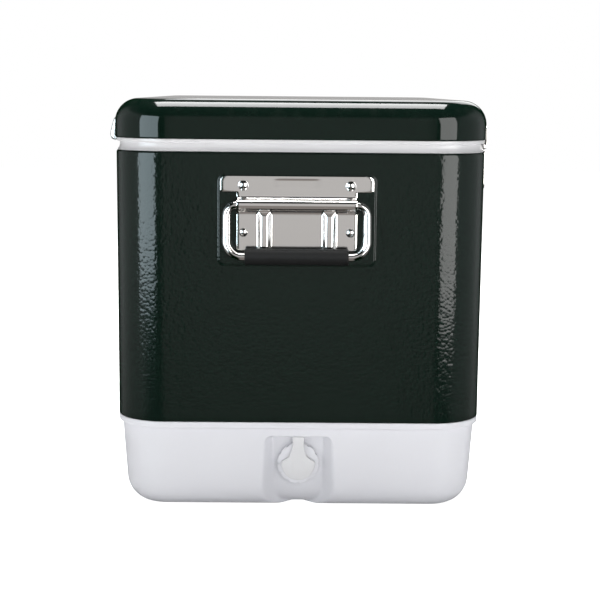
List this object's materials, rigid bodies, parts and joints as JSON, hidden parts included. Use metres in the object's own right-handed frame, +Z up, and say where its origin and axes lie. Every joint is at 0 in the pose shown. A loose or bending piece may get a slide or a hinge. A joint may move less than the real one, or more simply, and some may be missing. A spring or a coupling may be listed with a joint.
{
  "type": "insulated cooler chest",
  "caption": "Insulated chest with a painted steel belt, rounded hinged lid, front latch, swinging end handles and a capped drain in its white base.",
  "frame": {"origin": "middle of the base's flat underside, below the middle of the steel belt, on the surface the chest stands on", "axes": "+X along the chest's length towards the drain end, +Y towards the hinges at the back, -Y towards the latch at the front, +Z up"},
  "size_m": [0.621, 0.4403, 0.447],
  "materials": {
    "base_plastic": "moulded white plastic with a faint satin grain",
    "liner_plastic": "smooth white moulded plastic",
    "plug_plastic": "soft white moulded plastic",
    "foam": "rigid blown foam, hidden",
    "belt_enamel": "very dark green gloss enamel over a pebbled surface",
    "lid_enamel": "very dark green gloss enamel, smooth with slight orange peel",
    "bracket_steel": "satin stainless sheet",
    "latch_steel": "satin stainless sheet, pressed",
    "zinc_steel": "plain plated sheet, hidden",
    "bright_steel": "polished steel wire and rivets",
    "grip_rubber": "matte black rubber"
  },
  "bodies": {
    "root": {"base_tray": "base_plastic", "steel_belt": "belt_enamel", "inner_liner": "liner_plastic", "foam_body": "foam", "drain_spout": "liner_plastic", "drain_washer": "grip_rubber", "drain_nut": "base_plastic", "plug_strap_root": "plug_plastic", "drain_end_bracket": "bracket_steel", "drain_end_backing_plate": "zinc_steel", "drain_end_rivets": "bright_steel", "plain_end_bracket": "bracket_steel", "plain_end_backing_plate": "zinc_steel", "plain_end_rivets": "bright_steel", "drain_end_hinge_body_leaf": "bracket_steel", "plain_end_hinge_body_leaf": "bracket_steel", "drain_end_hinge_pin": "bright_steel", "plain_end_hinge_pin": "bright_steel", "hinge_body_rivets": "bright_steel", "latch_strike": "bracket_steel", "strike_rivets": "bright_steel"},
    "lid": {"lid_shell": "lid_enamel", "lid_liner": "liner_plastic", "lid_foam": "foam", "drain_end_hinge_lid_leaf": "bracket_steel", "plain_end_hinge_lid_leaf": "bracket_steel", "hinge_lid_rivets": "bright_steel", "latch_plate": "bracket_steel", "latch_plate_rivets": "bright_steel", "latch_pin": "bright_steel", "latch_spring": "bright_steel"},
    "latch": {"latch_lever": "latch_steel", "latch_hook": "bracket_steel"},
    "drain_end_handle": {"drain_end_bail": "bright_steel", "drain_end_grip": "grip_rubber"},
    "plain_end_handle": {"plain_end_bail": "bright_steel", "plain_end_grip": "grip_rubber"},
    "plug": {"drain_plug": "plug_plastic"}
  },
  "joints": [
    {"name": "lid_hinge", "type": "hinge", "parent": "root", "child": "lid", "pos_m": [0, 0.1993, 0.3975], "axis": [-1, 0, 0], "range_deg": [0, 100]},
    {"name": "latch_pivot", "type": "hinge", "parent": "lid", "child": "latch", "pos_m": [0, -0.214, 0.414], "axis": [-1, 0, 0], "range_deg": [0, 50], "stiffness_Nm_per_rad": 0.06, "springref_deg": -40.11},
    {"name": "drain_end_bail_swing", "type": "hinge", "parent": "root", "child": "drain_end_handle", "pos_m": [0.2931, -0.0036, 0.337], "axis": [0, -1, 0], "range_deg": [0, 150]},
    {"name": "plain_end_bail_swing", "type": "hinge", "parent": "root", "child": "plain_end_handle", "pos_m": [-0.2931, -0.0036, 0.337], "axis": [0, 1, 0], "range_deg": [0, 150]},
    {"name": "plug_swing", "type": "hinge", "parent": "root", "child": "plug", "pos_m": [0.277, 0, 0.0809], "axis": [0, -1, 0], "range_deg": [0, 75]}
  ]
}
